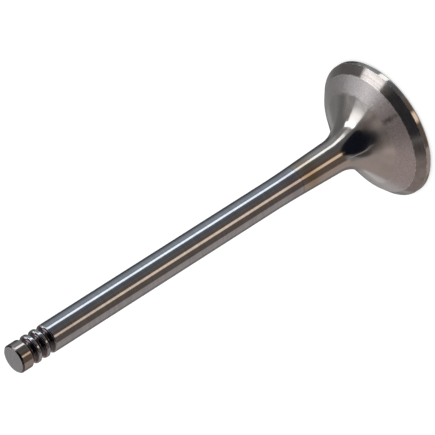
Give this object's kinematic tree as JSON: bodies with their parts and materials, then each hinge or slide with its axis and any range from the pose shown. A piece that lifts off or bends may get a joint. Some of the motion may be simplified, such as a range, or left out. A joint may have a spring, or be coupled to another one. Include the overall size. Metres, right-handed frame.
{
  "type": "engine valve",
  "caption": "Poppet valve for a piston engine: ground stem with keeper grooves and chamfered tip, tapered neck, and wide head with a 45 degree seat and straight margin.",
  "frame": {"origin": "centre of the head's flat combustion face", "axes": "+Z along the stem from the head to the tip, so the valve stands on its head; X and Y lie in the head face and are alike"},
  "size_m": [0.0442, 0.0442, 0.1436],
  "materials": {
    "valve_steel": "polished ground stem and seat, satin turned neck and underhead"
  },
  "bodies": {
    "root": {"valve": "valve_steel"}
  },
  "joints": []
}
